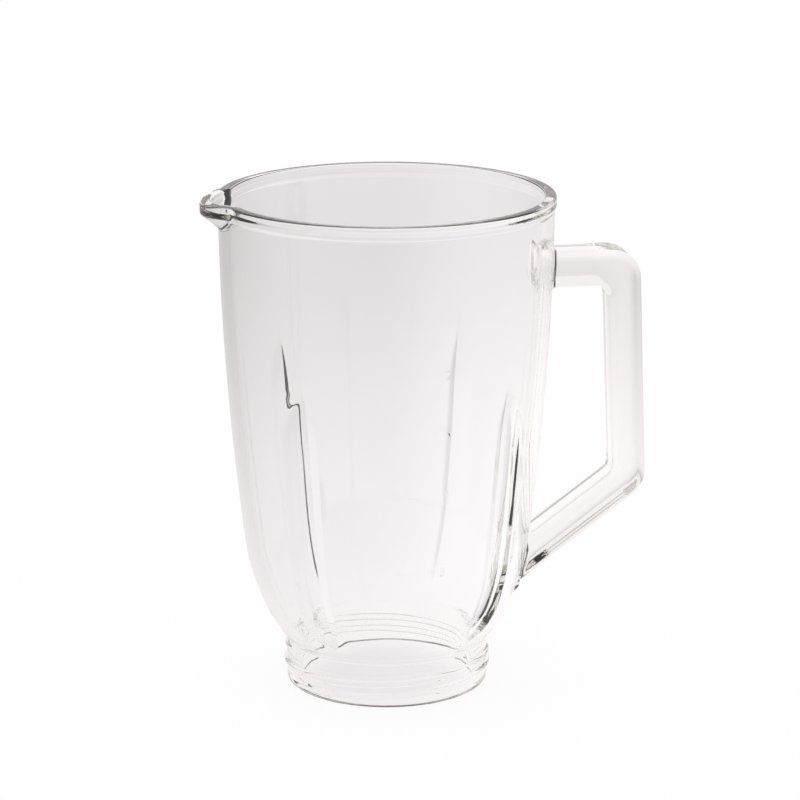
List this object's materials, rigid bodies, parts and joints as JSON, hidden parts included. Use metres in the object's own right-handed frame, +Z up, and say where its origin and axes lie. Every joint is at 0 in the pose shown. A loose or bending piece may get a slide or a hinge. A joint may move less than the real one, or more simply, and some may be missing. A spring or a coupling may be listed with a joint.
{
  "type": "blender jar",
  "caption": "Clear pressed-glass blender jar with a pouring lip, loop handle, pointed flutes and an open screw collar at the foot for a blade holder.",
  "frame": {"origin": "on the jar's axis at its foot, in the middle of the blade opening", "axes": "+Z up along the jar's axis, +X towards the handle, -X towards the pouring lip, -Y is the side with the scale"},
  "size_m": [0.1872, 0.1402, 0.21],
  "materials": {
    "clear_glass": "smooth pressed soda-lime glass, fire-polished"
  },
  "bodies": {
    "root": {"glass_jar": "clear_glass"}
  },
  "joints": []
}
